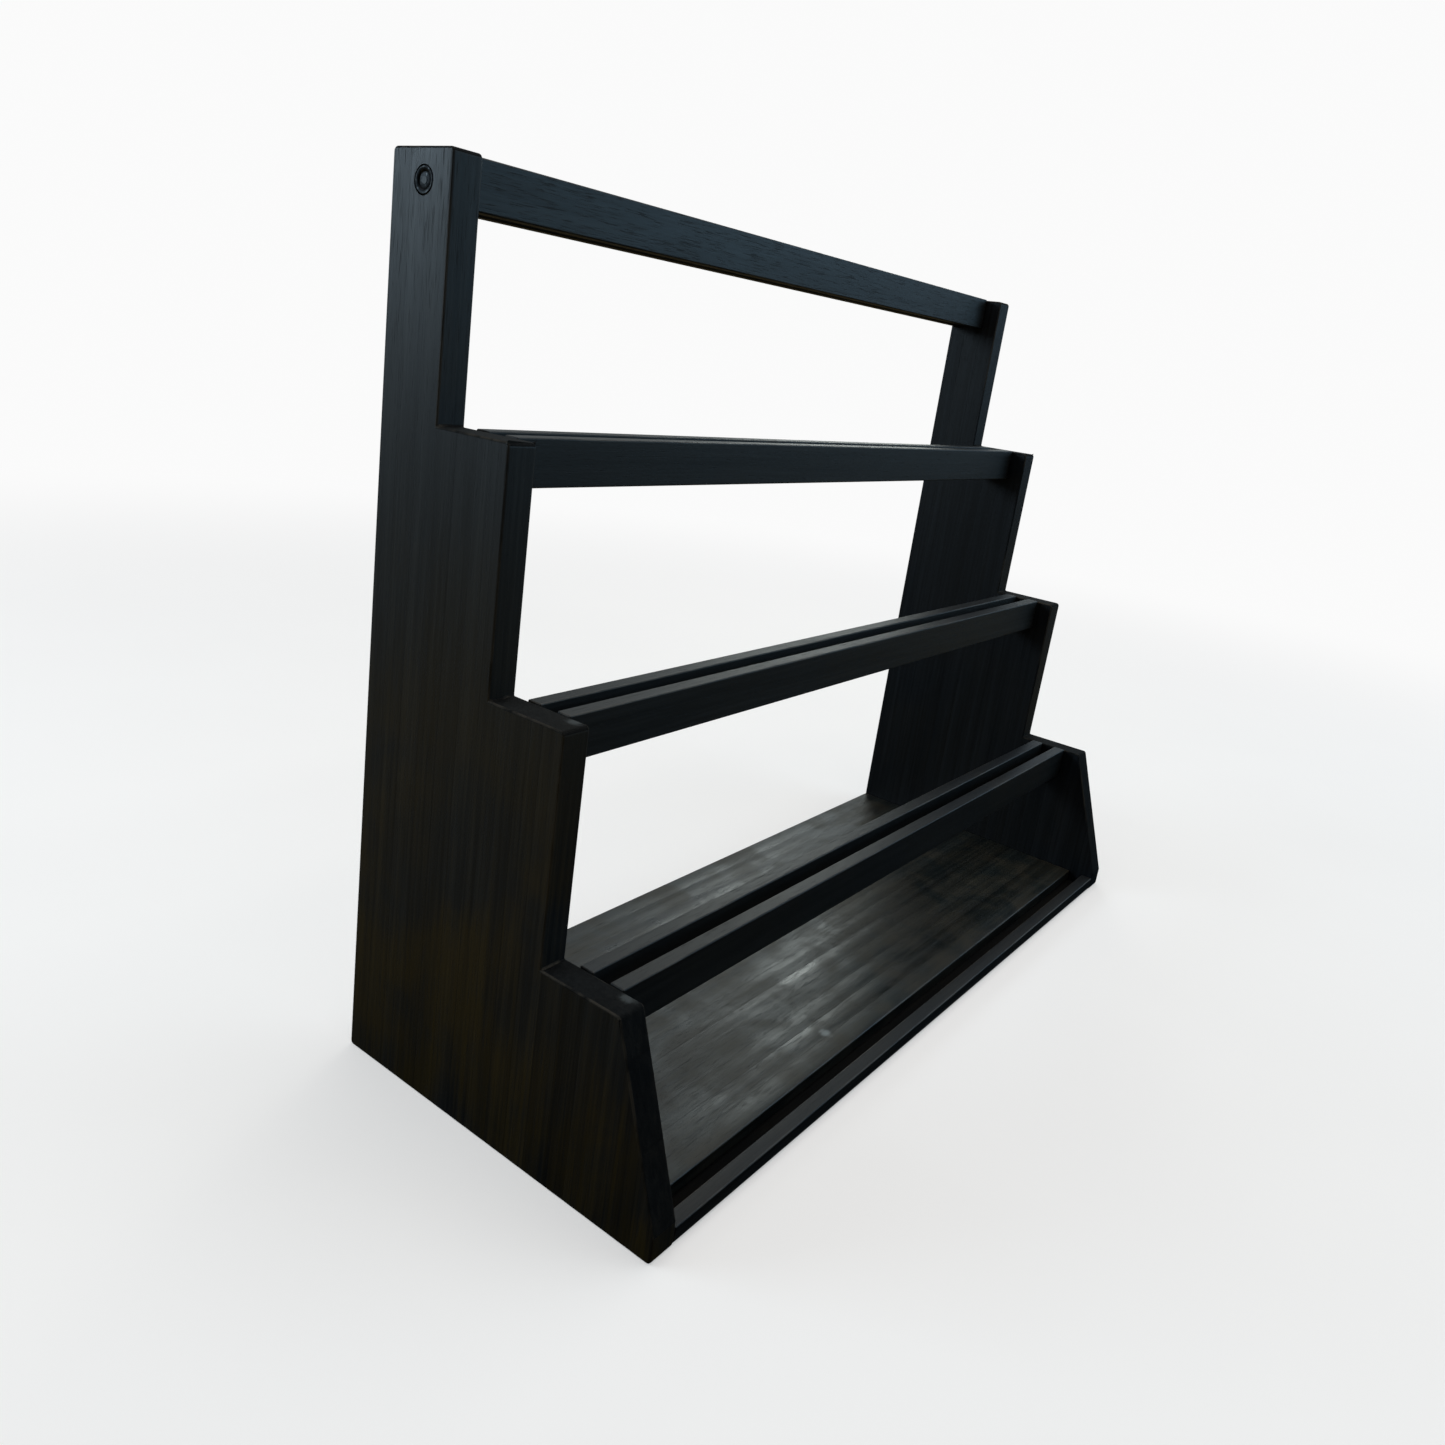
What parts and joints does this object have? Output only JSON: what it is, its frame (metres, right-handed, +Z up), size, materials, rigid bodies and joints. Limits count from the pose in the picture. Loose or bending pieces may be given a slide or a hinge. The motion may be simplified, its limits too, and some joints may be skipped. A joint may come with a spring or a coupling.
{
  "type": "dumbbell rack",
  "caption": "Stepped wooden rack: solid side panels with risers and treads carry slotted pairs of rails, over a base board.",
  "frame": {"origin": "on the floor, under the middle of the rack's bounding box", "axes": "+X towards the rack's right side, -Y towards its stepped front, +Z up"},
  "size_m": [1.03, 0.382, 0.801],
  "materials": {
    "panel_stain": "black-brown stained wood with a satin coat",
    "rail_stain": "black-brown stained wood with a satin coat",
    "board_stain": "black-brown stained wood with a semi-gloss coat",
    "dowel_wood": "bare beech",
    "screw_steel": "blackened steel"
  },
  "bodies": {
    "root": {"base_board": "board_stain", "base_front_rail": "rail_stain", "base_groove_strip": "board_stain", "dowel_base_board_back_left": "dowel_wood", "dowel_base_board_back_right": "dowel_wood", "dowel_base_board_front_left": "dowel_wood", "dowel_base_board_front_right": "dowel_wood", "dowel_base_board_middle_left": "dowel_wood", "dowel_base_board_middle_right": "dowel_wood", "dowel_base_rail_left": "dowel_wood", "dowel_base_rail_right": "dowel_wood", "dowel_tier1_back_rail_lower_left": "dowel_wood", "dowel_tier1_back_rail_lower_right": "dowel_wood", "dowel_tier1_back_rail_upper_left": "dowel_wood", "dowel_tier1_back_rail_upper_right": "dowel_wood", "dowel_tier1_front_rail_lower_left": "dowel_wood", "dowel_tier1_front_rail_lower_right": "dowel_wood", "dowel_tier1_front_rail_upper_left": "dowel_wood", "dowel_tier1_front_rail_upper_right": "dowel_wood", "dowel_tier2_back_rail_lower_left": "dowel_wood", "dowel_tier2_back_rail_lower_right": "dowel_wood", "dowel_tier2_back_rail_upper_left": "dowel_wood", "dowel_tier2_back_rail_upper_right": "dowel_wood", "dowel_tier2_front_rail_lower_left": "dowel_wood", "dowel_tier2_front_rail_lower_right": "dowel_wood", "dowel_tier2_front_rail_upper_left": "dowel_wood", "dowel_tier2_front_rail_upper_right": "dowel_wood", "dowel_tier3_back_rail_lower_left": "dowel_wood", "dowel_tier3_back_rail_lower_right": "dowel_wood", "dowel_tier3_back_rail_upper_left": "dowel_wood", "dowel_tier3_back_rail_upper_right": "dowel_wood", "dowel_tier3_front_rail_lower_left": "dowel_wood", "dowel_tier3_front_rail_lower_right": "dowel_wood", "dowel_tier3_front_rail_upper_left": "dowel_wood", "dowel_tier3_front_rail_upper_right": "dowel_wood", "dowel_tier4_back_rail_lower_left": "dowel_wood", "dowel_tier4_back_rail_lower_right": "dowel_wood", "dowel_tier4_back_rail_upper_left": "dowel_wood", "dowel_tier4_back_rail_upper_right": "dowel_wood", "dowel_tier4_front_rail_lower_left": "dowel_wood", "dowel_tier4_front_rail_lower_right": "dowel_wood", "dowel_tier4_front_rail_upper_left": "dowel_wood", "dowel_tier4_front_rail_upper_right": "dowel_wood", "side_panel_left": "panel_stain", "side_panel_right": "panel_stain", "tier1_back_rail": "rail_stain", "tier1_front_rail": "rail_stain", "tier2_back_rail": "rail_stain", "tier2_front_rail": "rail_stain", "tier3_back_rail": "rail_stain", "tier3_front_rail": "rail_stain", "tier4_back_rail": "rail_stain", "tier4_front_rail": "rail_stain", "top_screw_cup_left": "screw_steel", "top_screw_cup_right": "screw_steel", "top_screw_left": "screw_steel", "top_screw_right": "screw_steel"}
  },
  "joints": []
}
